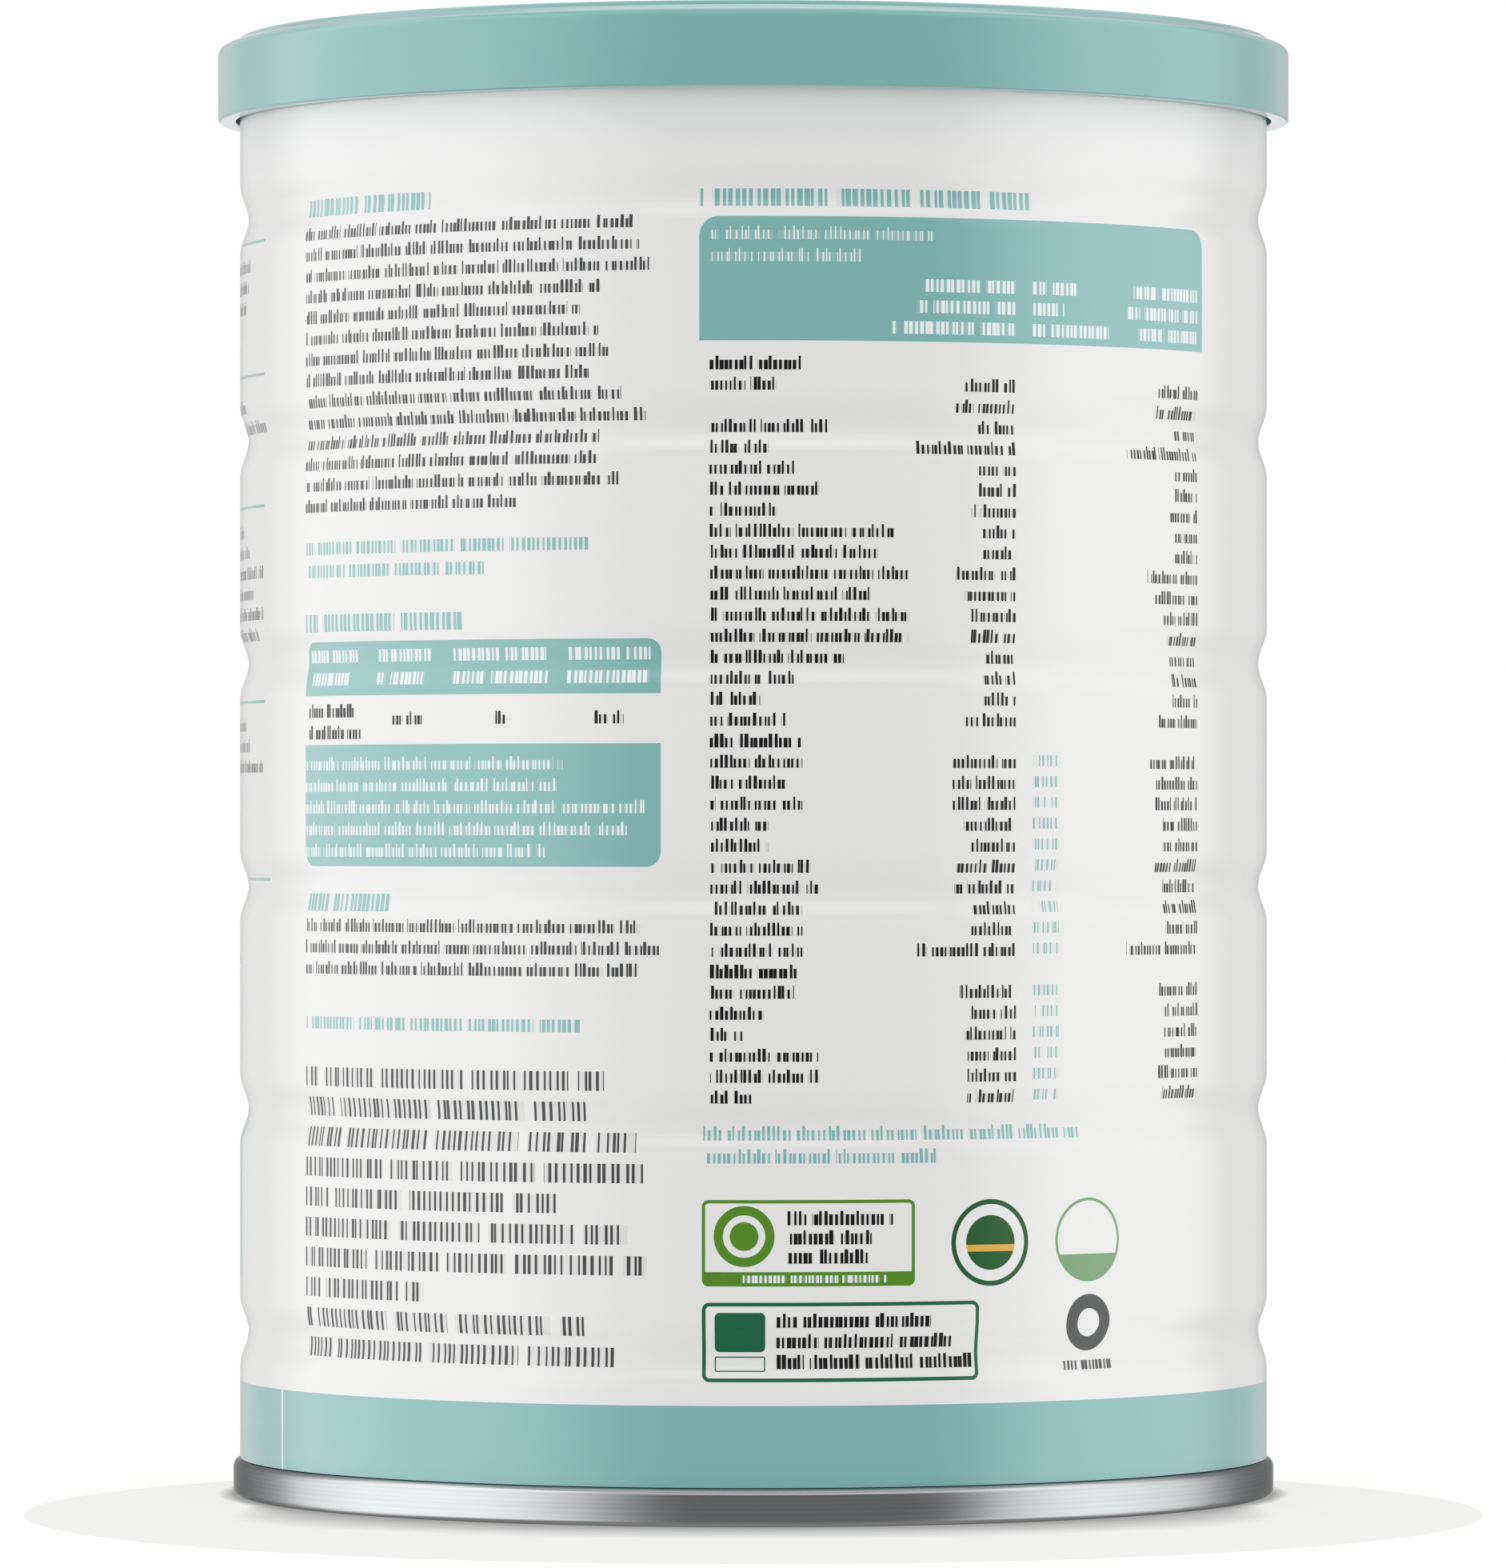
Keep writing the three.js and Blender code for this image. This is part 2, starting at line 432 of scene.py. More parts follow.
# Rows of fine marks, each a run of little upright dashes.
# size: height of a dash. rise: how much taller some are. weight: dash width as a share of its step.
prints = {
    "title": {"size": 2.1, "rise": 0.0, "weight": 0.6, "ink": "sage"},
    "strong": {"size": 1.5, "rise": 0.0, "weight": 0.54, "ink": "sage"},
    "small": {"size": 1.1, "rise": 0.42, "weight": 0.54, "ink": "grey"},
    "large": {"size": 2.3, "rise": 0.0, "weight": 0.38, "ink": "grey"},
    "reversed": {"size": 1.1, "rise": 0.42, "weight": 0.42, "ink": "pale"},
    "reversedThin": {"size": 1.1, "rise": 0.42, "weight": 0.26, "ink": "pale"},
    "reversedStrong": {"size": 1.5, "rise": 0.0, "weight": 0.55, "ink": "pale"},
    "reversedTiny": {"size": 0.9, "rise": 0.0, "weight": 0.5, "ink": "pale"},
    "table": {"size": 1.1, "rise": 0.42, "weight": 0.54, "ink": "dark"},
    "tableStrong": {"size": 1.15, "rise": 0.42, "weight": 0.66, "ink": "dark"},
    "tableTinted": {"size": 1.3, "rise": 0.0, "weight": 0.34, "ink": "sage"},
    "note": {"size": 1.2, "rise": 0.42, "weight": 0.5, "ink": "sage"},
    "badge": {"size": 1.3, "rise": 0.3, "weight": 0.64, "ink": "dark"},
    "mark": {"size": 1.1, "rise": 0.0, "weight": 0.62, "ink": "slate"},
    "rule": {"size": 0.35, "rise": 0.0, "weight": 1.5, "ink": "sage"},
}

# How the dashes of a row vary, as shares of their step or size; leastStep is in millimetres.
# The keys give each row its own run of chances.
dashes = {
    "step": 0.26,
    "leastStep": 0.28,
    "widths": (0.7, 1.35),
    "tallOver": 0.72,
    "between": 0.12,
    "groups": 0.17,
    "groupGap": 0.045,
    "groupVariety": 0.8,
    "startKey": 3.7,
    "topKey": 0.61,
    "groupKey": 37.7,
}

# Columns of rows. across: where a column lies. Its rows start at the left edge, or end at the right.
# Each block in it: height of its first row's top, pitch of its rows, their print, and their lengths.
tablePitch = 2.477
tableTop = 138.2
secondTop = tableTop - 18 * tablePitch  # tops of the table's second and third groups of rows
thirdTop = tableTop - 29 * tablePitch
columns = [
    {"across": (-64.7, -11.0), "blocks": [
        (158.4, 3.4, "title", [23.0]),
        (155.0, 2.53, "small",
         [50.3, 51.1, 52.3, 46.4, 43.8, 46.1, 47.3, 44.9, 48.9, 51.8, 46.1, 46.0, 48.6, 35.5]),
        (116.9, 2.75, "strong", [45.6, 31.3]),
        (108.2, 3.2, "title", [28.1]),
        (91.0, 2.6, "reversed", [41.6, 40.8, 51.8, 49.6, 39.4]),
        (74.6, 3.0, "title", [16.4]),
        (71.6, 2.56, "small", [51.2, 53.5, 50.8]),
        (59.8, 3.0, "strong", [43.8]),
        (53.7, 3.63, "large", [46.8, 44.4, 50.7, 51.8, 40.8, 49.7, 52.0, 22.3, 44.4, 47.9]),
    ]},
    {"across": (-64.0, -51.0), "blocks": [
        (103.9, 2.75, "reversedStrong", [10.0, 8.4]),
        (97.4, 2.6, "tableStrong", [9.6, 11.0]),
    ]},
    {"across": (-50.4, -38.6), "blocks": [(103.9, 2.75, "reversedStrong", [9.4, 8.0])]},
    {"across": (-38.3, -23.2), "blocks": [(103.9, 2.75, "reversedStrong", [12.9, 13.4])]},
    {"across": (-22.6, -11.0), "blocks": [(103.9, 2.75, "reversedStrong", [10.3, 10.3])]},
    {"across": (-47.5, -40.0), "blocks": [(96.4, 2.75, "table", [4.8])]},
    {"across": (-32.2, -28.0), "blocks": [(96.4, 2.75, "table", [1.6])]},
    {"across": (-19.2, -12.0), "blocks": [(96.4, 2.75, "table", [3.7])]},
    {"across": (-6.4, 64.0), "blocks": [(158.0, 3.3, "title", [41.4])]},
    {"across": (-5.2, 64.0), "blocks": [(153.5, 2.6, "reversedThin", [26.9, 18.0])]},
    {"across": (-5.2, 18.6), "blocks": [
        (tableTop, tablePitch, "tableStrong", [10.8]),
        (tableTop - tablePitch, tablePitch, "table",
         [8, 0, 14, 7, 10, 13, 8, 22, 20, 24, 19, 24, 24, 16, 10, 6, 9]),
        (secondTop, tablePitch, "tableStrong", [10.8]),
        (secondTop - tablePitch, tablePitch, "table", [11, 9, 11, 7, 7, 12, 13, 11, 11, 11]),
        (thirdTop, tablePitch, "tableStrong", [10.3]),
        (thirdTop - tablePitch, tablePitch, "table", [10, 7, 4, 13, 13, 5]),
    ]},
    {"across": (12.0, 32.6), "rightward": False, "blocks": [
        (147.4, 2.5, "reversedStrong", [11.9, 13.0, 16.1]),
    ]},
    {"across": (18.7, 32.6), "rightward": False, "blocks": [
        (tableTop - tablePitch, tablePitch, "table",
         [7, 8, 5, 13, 5, 5, 6, 4.5, 4.5, 8, 7, 6, 6, 4, 4.5, 4.5, 7]),
        (secondTop - tablePitch, tablePitch, "table", [8.5, 8.5, 8.5, 7, 6, 8, 8, 6, 6, 13]),
        (thirdTop - tablePitch, tablePitch, "table", [7.5, 6, 7, 6.5, 6.5, 6.5]),
    ]},
    {"across": (18.6, 25.0), "start": -5.2, "blocks": [
        (tableTop - 12 * tablePitch, tablePitch, "table", [29.4, 28.6]),
    ]},
    {"across": (34.9, 48.0), "blocks": [
        (147.4, 2.5, "reversedStrong", [6.7, 4.6, 11.6]),
        (secondTop - tablePitch, tablePitch, "tableTinted", [3.8] * 10),
        (thirdTop - tablePitch, tablePitch, "tableTinted", [3.8] * 6),
    ]},
    {"across": (48.1, 63.8), "rightward": False, "blocks": [
        (147.4, 2.5, "reversedStrong", [13.0, 14.1, 12.2]),
        (tableTop - tablePitch, tablePitch, "table",
         [8.5, 8.5, 4.5, 14.3, 5, 5, 6, 5, 5, 10.5, 9, 7.5, 6.5, 5.5, 5.5, 5.5, 8.5]),
        (secondTop - tablePitch, tablePitch, "table", [10.5, 9, 9, 7.5, 7.5, 9, 7, 7.5, 7, 14.3]),
        (thirdTop - tablePitch, tablePitch, "table", [8.5, 7.5, 7.5, 7.5, 8.5, 7.5]),
    ]},
    {"across": (-6.1, 64.0), "blocks": [(47.3, 2.7, "note", [47.9, 28.4])]},
    {"across": (4.0, 18.6), "blocks": [(37.3, 2.27, "badge", [12.7, 10.1, 9.6])]},
    {"across": (-1.4, 17.0), "blocks": [(29.7, 1.6, "reversedTiny", [17.4])]},
    {"across": (2.7, 27.1), "blocks": [(25.2, 2.45, "badge", [19.1, 21.4, 24.2])]},
    {"across": (39.4, 48.0), "blocks": [(19.0, 1.8, "mark", [7.8])]},
    # The left side, of which the front view sees the rows' ends
    {"across": (-131.0, -76.5), "blocks": [
        (154.4, 1.6, "rule", [53.8]),
        (152.2, 2.53, "small", [47.0, 46.1, 44.0, 30.0]),
        (138.1, 1.6, "rule", [53.8]),
        (135.0, 2.53, "small", [43.0, 52.6, 38.0]),
        (122.0, 1.6, "rule", [53.8]),
        (119.6, 2.53, "small", [42.0, 46.5, 53.2, 49.0, 53.4, 50.6, 21.0]),
        (98.1, 1.6, "rule", [53.8]),
        (95.9, 2.53, "small", [44.0, 46.6, 53.0, 26.0]),
        (76.4, 1.6, "rule", [53.8]),
        (71.4, 3.6, "title", [34.0]),
        (67.4, 2.53, "small", [37.0, 35.0, 30.0]),
    ]},
    {"across": (-128.0, -93.0), "blocks": [
        (45.0, 2.6, "reversed", [30.0, 27.0, 31.0, 29.0, 30.0, 18.0]),
    ]},
    # The right side
    {"across": (122.0, 150.0), "blocks": [
        (148.0, 2.53, "small", [24.0, 27.0, 21.0]),
        (120.5, 2.53, "small", [27.0, 22.0, 25.0]),
        (93.0, 2.53, "small", [22.0, 26.0, 16.0]),
    ]},
    # The back
    {"across": (-226.1, -174.1), "blocks": [
        (107.4, 3.0, "reversedStrong", [52.0]),
        (103.4, 2.7, "reversed", [52.0, 52.0, 52.0]),
    ]},
    {"across": (-237.1, -163.1), "blocks": [
        (45.5, 4.0, "title", [34.0]),
        (41.3, 2.53, "small", [72.0, 70.0, 73.0, 68.0, 71.0, 73.0, 66.0, 38.0]),
    ]},
]
# A ramp hands the rows' data on as a colour, so each is stored as a share of the most it can be
most = {"top": 200.0, "pitch": 5.0, "length": 80.0, "size": 3.0, "weight": 2.0}
printOrder = list(prints)
stopsInRamp = 30
stepOver = 0.18  # how far over a row its data starts, as a share of the pitch, in the gap above it
leastCore = 0.01  # millimetres; a field with a smaller core is a plain disc


# How far a point lies outside the core of a box with round corners
def boxGroup():
    group = bpy.data.node_groups.new("roundedBox", "ShaderNodeTree")
    for name in ("place", "middle", "core"):
        group.interface.new_socket(name=name, in_out="INPUT", socket_type="NodeSocketVector")
    group.interface.new_socket(name="distance", in_out="OUTPUT", socket_type="NodeSocketFloat")
    given = group.nodes.new("NodeGroupInput").outputs
    fromMiddle = add(group, "VectorMath", [given["place"], given["middle"]], operation="SUBTRACT")
    folded = add(group, "VectorMath", [fromMiddle], operation="ABSOLUTE")
    pastCore = add(group, "VectorMath", [folded, given["core"]], operation="SUBTRACT")
    outside = add(group, "VectorMath", [pastCore, (0, 0, 0)], operation="MAXIMUM")
    distance = add(group, "VectorMath", [outside], operation="LENGTH").outputs["Value"]
    result = group.nodes.new("NodeGroupOutput")
    group.links.new(distance, result.inputs["distance"])
    return group


def paintFields(tree, place, up, colour):
    boxes = boxGroup()
    for field in fields:
        (left, right), (low, high), corner = field["across"], field["up"], field["corner"]
        middle = ((left + right) / 2, (low + high) / 2, 0)
        core = ((right - left) / 2 - corner, (high - low) / 2 - corner, 0)
        if max(core) > leastCore:
            distance = add(tree, "Group", {"place": place, "middle": middle, "core": core},
                           node_tree=boxes, label=field["name"])
        else:
            distance = add(tree, "VectorMath", [place, middle], operation="DISTANCE",
                           label=field["name"]).outputs["Value"]
        for number, (inset, ink) in enumerate(field["rings"]):
            mask = add(tree, "Math", [distance, corner - inset], operation="LESS_THAN")
            if "clip" in field and number == len(field["rings"]) - 1:
                low, high = field["clip"]
                level = add(tree, "Math", [up, (low + high) / 2, (high - low) / 2], operation="COMPARE")
                mask = add(tree, "Math", [mask, level], operation="MULTIPLY")
            colour = add(tree, "Mix", {0: mask, 6: colour, 7: linear(inks[ink])},
                         data_type="RGBA").outputs[2]
    return colour


# A ramp of plain steps over a value from 0 to 1. steps: where each starts, and its four numbers.
def stepRamp(tree, value, steps):
    made = add(tree, "ValToRGB", [value])
    made.color_ramp.interpolation = "CONSTANT"
    stops = made.color_ramp.elements
    stops.remove(stops[-1])
    for number, (position, numbers) in enumerate(steps):
        stop = stops[0] if number == 0 else stops.new(position)
        stop.color = numbers
    return made.outputs


# A column's data at each height: top, pitch and length in a colour, the print's place in its alpha
def columnData(tree, up, blocksInColumn):
    steps = []
    for top, pitch, look, rows in blocksInColumn:
        printPlace = (printOrder.index(look) + 0.5) / len(prints)
        above = top + stepOver * pitch
        topShare, pitchShare = top / most["top"], pitch / most["pitch"]
        for number, length in enumerate(rows):
            if number == 0 or length != rows[number - 1]:
                numbers = (topShare, pitchShare, length / most["length"], printPlace)
                steps.append((above - number * pitch, numbers))
        steps.append((above - len(rows) * pitch, (topShare, pitchShare, 0, printPlace)))
    colour, alpha = None, None
    for first in range(0, len(steps), stopsInRamp):
        part = steps[first:first + stopsInRamp]
        high, low = part[0][0], part[-1][0] - 1  # a millimetre of room for the last step
        share = add(tree, "MapRange", {0: up, 1: high, 2: low, 3: 0.0, 4: 1.0})
        placed = [((high - height) / (high - low), numbers) for height, numbers in part]
        partColour, partAlpha = stepRamp(tree, share, placed)
        if first == 0:
            colour, alpha = partColour, partAlpha
        else:
            under = add(tree, "Math", [up, high], operation="LESS_THAN")
            colour = add(tree, "Mix", {0: under, 6: colour, 7: partColour},
                         data_type="RGBA").outputs[2]
            alpha = add(tree, "Mix", {0: under, 2: alpha, 3: partAlpha}).outputs[0]
    return steps[0][0], steps[-1][0], colour, alpha


def printedEnamel():
    material, tree, shader = newMaterial("lithographedEnamel")
    objectPlace = add(tree, "TexCoord").outputs["Object"]
    parts = add(tree, "SeparateXYZ", [objectPlace]).outputs
    towardsFront = add(tree, "Math", [parts["Y"], -1.0], operation="MULTIPLY")
    angle = add(tree, "Math", [parts["X"], towardsFront], operation="ARCTAN2")
    # Over the front the print allows for most of each bead, so its upright edges look straight there
    sideways = add(tree, "Math", [parts["X"], 1 / (wall["radius"] * mm)], operation="MULTIPLY")
    straight = add(tree, "Math", [sideways], operation="ARCSINE")
    turnedBy = add(tree, "Math", [angle], operation="ABSOLUTE")
    fadeFrom, fadeTo = [math.radians(degrees) for degrees in wall["allowanceEdge"]]
    allowance = wall["beadAllowance"]
    front = add(tree, "MapRange", {0: turnedBy, 1: fadeFrom, 2: fadeTo, 3: allowance, 4: 0.0})
    bestAngle = add(tree, "Mix", {0: front, 2: angle, 3: straight}).outputs[0]
    bothWays = add(tree, "Math", [bestAngle, wall["radius"]], operation="MULTIPLY")
    pastCut = add(tree, "Math", [bothWays, cutAt], operation="GREATER_THAN")
    wholeTurn = 2 * math.pi * wall["radius"]
    around = add(tree, "Math", [pastCut, -wholeTurn, bothWays], operation="MULTIPLY_ADD")
    up = add(tree, "Math", [parts["Z"], 1 / mm], operation="MULTIPLY")
    place = add(tree, "CombineXYZ", [around, up, 0.0])

    # The plain band round the foot, with the wall's side seam as a fine light line in it
    inBand = add(tree, "Math", [up, band["top"]], operation="LESS_THAN")
    onSeam = add(tree, "Math", [around, band["seamAt"], band["seamWidth"] / 2], operation="COMPARE")
    bandInk = add(tree, "Mix", {0: onSeam, 6: linear(inks["sage"]), 7: linear(inks["pale"])},
                  data_type="RGBA").outputs[2]
    ground = add(tree, "Mix", {0: inBand, 6: linear(inks["enamel"]), 7: bandInk},
                 data_type="RGBA").outputs[2]
    colour = paintFields(tree, place, up, ground)

    # Each column hands on its data where the point lies in it; elsewhere rows have no length
    data, printPlace = (0.5, 0.5, 0.0, 1.0), 0.5
    start, side = 0.0, 1.0
    for column in columns:
        left, right = column["across"]
        rightward = column.get("rightward", True)
        high, low, columnColour, columnPrint = columnData(tree, up, column["blocks"])
        across = add(tree, "Math", [around, (left + right) / 2, (right - left) / 2],
                     operation="COMPARE")
        level = add(tree, "Math", [up, (low + high) / 2, (high - low) / 2], operation="COMPARE")
        inside = add(tree, "Math", [across, level], operation="MULTIPLY")
        data = add(tree, "Mix", {0: inside, 6: data, 7: columnColour},
                   data_type="RGBA").outputs[2]
        printPlace = add(tree, "Mix", {0: inside, 2: printPlace, 3: columnPrint}).outputs[0]
        begin = column.get("start", left) if rightward else right
        start = add(tree, "Mix", {0: inside, 2: start, 3: begin}).outputs[0]
        if not rightward:
            side = add(tree, "Math", [inside, -2.0, side], operation="MULTIPLY_ADD")
    topShare, pitchShare, lengthShare = add(tree, "SeparateColor", [data]).outputs
    top = add(tree, "Math", [topShare, most["top"]], operation="MULTIPLY")
    pitch = add(tree, "Math", [pitchShare, most["pitch"]], operation="MULTIPLY")
    length = add(tree, "Math", [lengthShare, most["length"]], operation="MULTIPLY")
    looks, inksInOrder = [], []
    for number, look in enumerate(prints.values()):
        position = number / len(prints)
        shares = (look["size"] / most["size"], look["rise"], look["weight"] / most["weight"], 1)
        looks.append((position, shares))
        inksInOrder.append((position, linear(inks[look["ink"]])))
    lookShares = add(tree, "SeparateColor", [stepRamp(tree, printPlace, looks)["Color"]]).outputs
    ink = stepRamp(tree, printPlace, inksInOrder)["Color"]
    size = add(tree, "Math", [lookShares[0], most["size"]], operation="MULTIPLY")
    rise = lookShares[1]
    weight = add(tree, "Math", [lookShares[2], most["weight"]], operation="MULTIPLY")

    # Row number, and height over the row's foot
    below = add(tree, "Math", [top, up], operation="SUBTRACT")
    rowsDown = add(tree, "Math", [below, pitch], operation="DIVIDE")
    row = add(tree, "Math", [rowsDown], operation="FLOOR")
    intoRow = add(tree, "Math", [below, pitch], operation="FLOORED_MODULO")
    capHeight = add(tree, "Math", [rise, size, size], operation="MULTIPLY_ADD")
    overFoot = add(tree, "Math", [capHeight, intoRow], operation="SUBTRACT")
    offset = add(tree, "Math", [around, start], operation="SUBTRACT")
    along = add(tree, "Math", [offset, side], operation="MULTIPLY")
    started = add(tree, "Math", [along, 0.0], operation="GREATER_THAN")
    notEnded = add(tree, "Math", [along, length], operation="LESS_THAN")

    # Dashes: one to each step along the row, with their own width, place and height
    step = add(tree, "Math", [size, dashes["step"], dashes["leastStep"]], operation="MULTIPLY_ADD")
    stepsAlong = add(tree, "Math", [along, step], operation="DIVIDE")
    dash = add(tree, "Math", [stepsAlong], operation="FLOOR")
    intoDash = add(tree, "Math", [stepsAlong], operation="FRACT")
    columnKey = add(tree, "Math", [start, dashes["startKey"], row], operation="MULTIPLY_ADD")
    rowKey = add(tree, "Math", [top, dashes["topKey"], columnKey], operation="MULTIPLY_ADD")
    dashKey = add(tree, "CombineXYZ", [dash, rowKey, 0.0])
    dashChance = add(tree, "TexWhiteNoise", {"Vector": dashKey},
                     noise_dimensions="3D").outputs["Color"]
    widthChance, placeChance, heightChance = add(tree, "SeparateColor", [dashChance]).outputs
    thinnest, widest = dashes["widths"]
    widthShare = add(tree, "MapRange", {0: widthChance, 3: thinnest, 4: widest})
    width = add(tree, "Math", [widthShare, weight], operation="MULTIPLY")
    halfWidth = add(tree, "Math", [width, 0.5], operation="MULTIPLY")
    spareShare = add(tree, "Math", [1.0, width], operation="SUBTRACT")
    middle = add(tree, "Math", [spareShare, placeChance, halfWidth], operation="MULTIPLY_ADD")
    inDash = add(tree, "Math", [intoDash, middle, halfWidth], operation="COMPARE")
    isTall = add(tree, "Math", [heightChance, dashes["tallOver"]], operation="GREATER_THAN")
    height = add(tree, "Math", [isTall, rise, 1.0], operation="MULTIPLY_ADD")
    dashTop = add(tree, "Math", [height, size], operation="MULTIPLY")
    underTop = add(tree, "Math", [overFoot, dashTop], operation="LESS_THAN")
    dashed = add(tree, "Math", [inDash, underTop], operation="MULTIPLY")

    # A light tone between the dashes, and gaps that part them into short groups
    underLevel = add(tree, "Math", [overFoot, size], operation="LESS_THAN")
    between = add(tree, "Math", [underLevel, dashes["between"]], operation="MULTIPLY")
    inked = add(tree, "Math", [dashed, between], operation="MAXIMUM")
    groupPlace = add(tree, "Math", [along, size], operation="DIVIDE")
    groupKey = add(tree, "Math", [rowKey, dashes["groupKey"], groupPlace], operation="MULTIPLY_ADD")
    groupFeeds = {"W": groupKey, "Scale": dashes["groups"], "Randomness": dashes["groupVariety"]}
    toGap = add(tree, "TexVoronoi", groupFeeds, voronoi_dimensions="1D",
                feature="DISTANCE_TO_EDGE").outputs["Distance"]
    inGroup = add(tree, "Math", [toGap, dashes["groupGap"]], operation="GREATER_THAN")
    unbroken = add(tree, "Math", [weight, 1.0], operation="GREATER_THAN")
    inGroup = add(tree, "Math", [inGroup, unbroken], operation="MAXIMUM")
    overBase = add(tree, "Math", [overFoot, 0.0], operation="GREATER_THAN")
    for test in (started, notEnded, inGroup, overBase):
        inked = add(tree, "Math", [inked, test], operation="MULTIPLY")
    colour = add(tree, "Mix", {0: inked, 6: colour, 7: ink}, data_type="RGBA").outputs[2]
    tree.links.new(colour, shader.inputs["Base Color"])

    # Baked varnish: gloss with a slight ripple, which the dark inks dull because they lie thick
    rippleScale = 1 / (varnish["ripple"] * mm)
    ripple = add(tree, "TexNoise", {"Vector": objectPlace, "Scale": rippleScale, "Detail": 1.0})
    (least, greatest), (smoothest, roughest) = varnish["rippleSpread"], varnish["roughness"]
    rough = add(tree, "MapRange", {0: ripple, 1: least, 2: greatest, 3: smoothest, 4: roughest})
    tree.links.new(rough.outputs[0], shader.inputs["Roughness"])
    bump = add(tree, "Bump", {"Strength": varnish["rippleStrength"], "Height": ripple.outputs[0],
                              "Distance": varnish["rippleDepth"] * mm})
    tree.links.new(bump.outputs[0], shader.inputs["Normal"])
    lightness = add(tree, "RGBToBW", [colour])
    gloss = add(tree, "MapRange", {0: lightness, 1: 0.0, 2: varnish["dullUnder"],
                                   3: varnish["leastCoat"], 4: 1.0})
    tree.links.new(gloss.outputs[0], shader.inputs["Coat Weight"])
    shader.inputs["Coat Roughness"].default_value = varnish["coatRoughness"]
    shader.inputs["Coat IOR"].default_value = varnish["coatIOR"]
    shader.inputs["Specular IOR Level"].default_value = varnish["specular"]
    return material


wallPiece.data.materials.append(printedEnamel())
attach(wallPiece, "root")
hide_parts("can_body")
print("wall printed")


# Seamed end: a double seam round a recessed panel with two stamped rings
end = {
    "seamRadius": endHigh.x / mm,
    "seamHeight": endHigh.z / mm,
    "crown": 1.1,
    "foot": 0.9,
    "footInside": 62.4,
    "footInsideRound": 0.7,
    "footInsideShift": 0.2,
    "recessRadius": 61.5,
    "recessRound": 0.8,
    "recess": 3.5,
    "ringRadii": [38, 52],
    "ringWidth": 5,
    "ringDrop": 0.8,
    "stepsAcrossRing": 10,
    "tones": ("#9c9e9f", "#a7a9aa"),
    "edgeTint": "#a0a0a0",
    "roughness": (0.14, 0.22),
    "lines": 0.35,  # rolling lines are finer than this, which is as fine as shows
    "lineDepth": 0.004,
    "lineStrength": 0.1,
    "clouds": 12,  # width of the soft patches in the gloss
}


def endSection():
    points = [(0, end["recess"])]
    for radius in end["ringRadii"]:
        for step in range(end["stepsAcrossRing"] + 1):
            across = step / end["stepsAcrossRing"] - 0.5
            drop = end["ringDrop"] * math.cos(math.pi * across) ** 2
            points.append((radius + across * end["ringWidth"], end["recess"] - drop))
    foot, crown = end["foot"], end["crown"]
    recessRound, insideRound = end["recessRound"], end["footInsideRound"]
    points += arc(end["recessRadius"] - recessRound, end["recess"] - recessRound, recessRound, 90, 0, 6)
    points += arc(end["footInside"] + end["footInsideShift"], insideRound, insideRound, 180, 270, 6)
    points += arc(end["seamRadius"] - foot, foot, foot, -90, 0)
    points += arc(end["seamRadius"] - crown, end["seamHeight"] - crown, crown, 0, 90, 10)
    points += [(0, end["seamHeight"])]
    return points


endPiece = turn("seamedEnd", endSection())


# Tinplate: steel sheet with a thin bright tin coat, pressed and then rolled at its seam.
# To the eye that is a clear, slightly soft mirror with fine lines round the tin.
def tinplate():
    material, tree, shader = newMaterial("rolledTinplate")
    objectPlace = add(tree, "TexCoord").outputs["Object"]
    parts = add(tree, "SeparateXYZ", [objectPlace]).outputs
    flat = add(tree, "CombineXYZ", [parts["X"], parts["Y"], 0.0])
    radius = add(tree, "VectorMath", [flat], operation="LENGTH").outputs["Value"]
    lines = add(tree, "CombineXYZ", [radius, parts["Z"], 0.0])
    fine = add(tree, "TexNoise", {"Vector": lines, "Scale": 1 / (end["lines"] * mm), "Detail": 3.0})
    cloudScale = 1 / (end["clouds"] * mm)
    cloud = add(tree, "TexNoise", {"Vector": objectPlace, "Scale": cloudScale, "Detail": 3.0})
    least, greatest = noiseSpread
    tone = add(tree, "MapRange", {0: fine, 1: least, 2: greatest, 3: 0.0, 4: 1.0})
    darker, lighter = [linear(tint) for tint in end["tones"]]
    colour = add(tree, "Mix", {0: tone, 6: darker, 7: lighter}, data_type="RGBA")
    tree.links.new(colour.outputs[2], shader.inputs["Base Color"])
    smoothest, roughest = end["roughness"]
    rough = add(tree, "MapRange", {0: cloud, 1: least, 2: greatest, 3: smoothest, 4: roughest})
    tree.links.new(rough.outputs[0], shader.inputs["Roughness"])
    bump = add(tree, "Bump", {"Strength": end["lineStrength"], "Height": fine.outputs[0],
                              "Distance": end["lineDepth"] * mm})
    tree.links.new(bump.outputs[0], shader.inputs["Normal"])
    shader.inputs["Metallic"].default_value = 1.0
    shader.inputs["Specular Tint"].default_value = linear(end["edgeTint"])
    return material


endPiece.data.materials.append(tinplate())
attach(endPiece, "root")
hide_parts("base_end")
print("end turned")


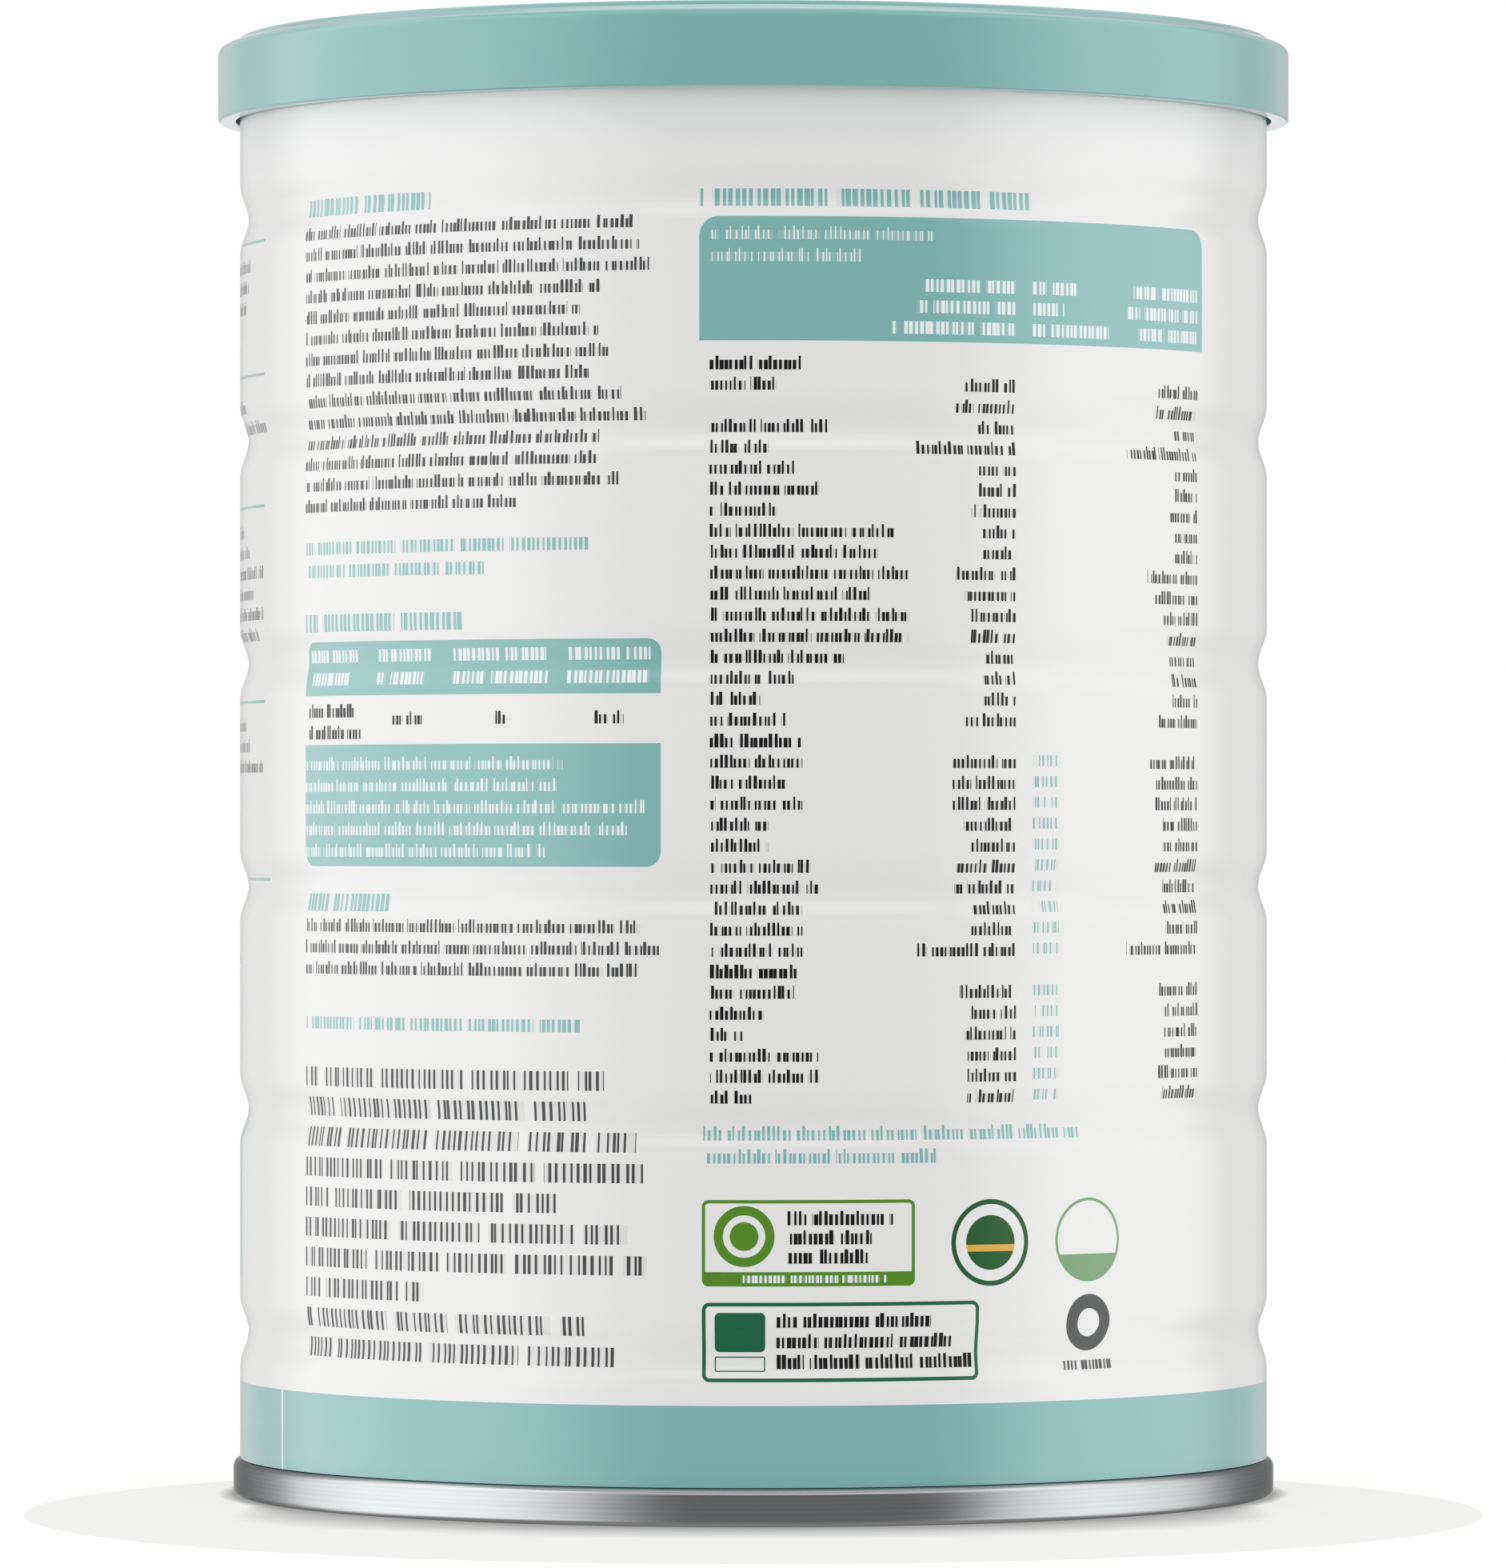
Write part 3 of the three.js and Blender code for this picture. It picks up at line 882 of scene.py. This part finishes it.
# Cap: a skirt with a rounded shoulder, and a stacking rim round a lower panel
capLow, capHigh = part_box("lid")
cap = {
    "radius": capHigh.x / mm,
    "lip": capLow.z / mm,
    "top": capHigh.z / mm,
    "lipRound": 0.35,
    "lipInsideRound": 0.2,
    "inside": wall["radius"] + 0.5,  # half a millimetre of room round the wall
    "shoulderHeight": 179.1,
    "shoulderRound": 1.0,
    "shoulderSlope": 70,
    "rimRadius": 64.1,
    "rimRound": 0.8,
    "rimWidth": 3.2,
    "rimCrease": 0.15,
    "creaseWidth": 0.1,
    "panel": 178.7,
    "panelRound": 0.4,
    "panelThickness": 1.2,
    "gateRadius": 1.6,
    "gateDepth": 0.25,
    "gateSlope": 0.2,
    "tones": ("#78b1ac", "#7cb5b0"),
    "toneWidth": 30,
    "grain": 0.4,  # a matted mould's grain is finer, but wouldn't show
    "grainDepth": 0.002,
    "grainStrength": 0.05,
    "roughness": (0.3, 0.34),
    "coatRoughness": 0.06,
    "coatIOR": 1.55,
    "specular": 0.15,
    "panelRoughness": 0.55,
    "panelEdge": 0.3,
}


def capSection():
    ceiling = cap["panel"] - cap["panelThickness"]
    rimInside = cap["rimRadius"] - cap["rimWidth"]
    lipRound, rimRound = cap["lipRound"], cap["rimRound"]
    insideRound, panelRound = cap["lipInsideRound"], cap["panelRound"]
    shoulder = arc(
        cap["radius"] - cap["shoulderRound"],
        cap["shoulderHeight"] - cap["shoulderRound"],
        cap["shoulderRound"],
        0,
        cap["shoulderSlope"],
    )
    slope = math.radians(90 - cap["shoulderSlope"])
    foot = shoulder[-1][1] + (shoulder[-1][0] - cap["rimRadius"]) * math.tan(slope)
    points = [(0, ceiling), (cap["inside"], ceiling)]
    points += arc(cap["inside"] + insideRound, cap["lip"] + insideRound, insideRound, 180, 270, 4)
    points += arc(cap["radius"] - lipRound, cap["lip"] + lipRound, lipRound, -90, 0, 6)
    points += shoulder
    points += [(cap["rimRadius"] + cap["creaseWidth"], foot)]
    points += [(cap["rimRadius"], foot - cap["rimCrease"])]
    points += arc(cap["rimRadius"] - rimRound, cap["top"] - rimRound, rimRound, 0, 90)
    points += arc(rimInside + rimRound, cap["top"] - rimRound, rimRound, 90, 180)
    points += arc(rimInside - panelRound, cap["panel"] + panelRound, panelRound, 0, -90, 5)
    gate = cap["gateRadius"]
    points += [
        (gate, cap["panel"]),
        (gate - cap["gateSlope"], cap["panel"] - cap["gateDepth"]),
        (0, cap["panel"] - cap["gateDepth"]),
    ]
    return points


capPiece = turn("pushOnCap", capSection())


# Moulded polyethylene: sage pigment in a waxy plastic, from a finely matted steel mould.
# To the eye that is a soft satin gloss with a faint grain.
def mouldedPlastic():
    material, tree, shader = newMaterial("mouldedPolyethylene")
    objectPlace = add(tree, "TexCoord").outputs["Object"]
    grainScale, flowScale = 1 / (cap["grain"] * mm), 1 / (cap["toneWidth"] * mm)
    grain = add(tree, "TexNoise", {"Vector": objectPlace, "Scale": grainScale, "Detail": 2.0})
    flow = add(tree, "TexNoise", {"Vector": objectPlace, "Scale": flowScale, "Detail": 2.0})
    least, greatest = noiseSpread
    tone = add(tree, "MapRange", {0: flow, 1: least, 2: greatest, 3: 0.0, 4: 1.0})
    darker, lighter = [linear(tint) for tint in cap["tones"]]
    colour = add(tree, "Mix", {0: tone, 6: darker, 7: lighter}, data_type="RGBA")
    tree.links.new(colour.outputs[2], shader.inputs["Base Color"])
    smoothest, roughest = cap["roughness"]
    rough = add(tree, "MapRange", {0: grain, 1: least, 2: greatest, 3: smoothest, 4: roughest})
    # The panel inside the rim is matted, so its gloss is weak and wide
    parts = add(tree, "SeparateXYZ", [objectPlace]).outputs
    flat = add(tree, "CombineXYZ", [parts["X"], parts["Y"], 0.0])
    radius = add(tree, "VectorMath", [flat], operation="LENGTH").outputs["Value"]
    rimInside = (cap["rimRadius"] - cap["rimWidth"]) * mm
    fullyIn = rimInside - cap["panelEdge"] * mm
    inRim = add(tree, "MapRange", {0: radius, 1: fullyIn, 2: rimInside, 3: 1.0, 4: 0.0})
    onTop = add(tree, "Math", [parts["Z"], (cap["panel"] - cap["panelThickness"] / 2) * mm],
                operation="GREATER_THAN")
    matted = add(tree, "Math", [inRim, onTop], operation="MULTIPLY")
    anyRough = add(tree, "Mix", {0: matted, 2: rough, 3: cap["panelRoughness"]}).outputs[0]
    tree.links.new(anyRough, shader.inputs["Roughness"])
    coat = add(tree, "Math", [1.0, matted], operation="SUBTRACT")
    tree.links.new(coat.outputs[0], shader.inputs["Coat Weight"])
    bump = add(tree, "Bump", {"Strength": cap["grainStrength"], "Height": grain.outputs[0],
                              "Distance": cap["grainDepth"] * mm})
    tree.links.new(bump.outputs[0], shader.inputs["Normal"])
    shader.inputs["Coat Roughness"].default_value = cap["coatRoughness"]
    shader.inputs["Coat IOR"].default_value = cap["coatIOR"]
    shader.inputs["Specular IOR Level"].default_value = cap["specular"]
    return material


capPiece.data.materials.append(mouldedPlastic())
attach(capPiece, "root")
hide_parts("lid")
print("cap turned")
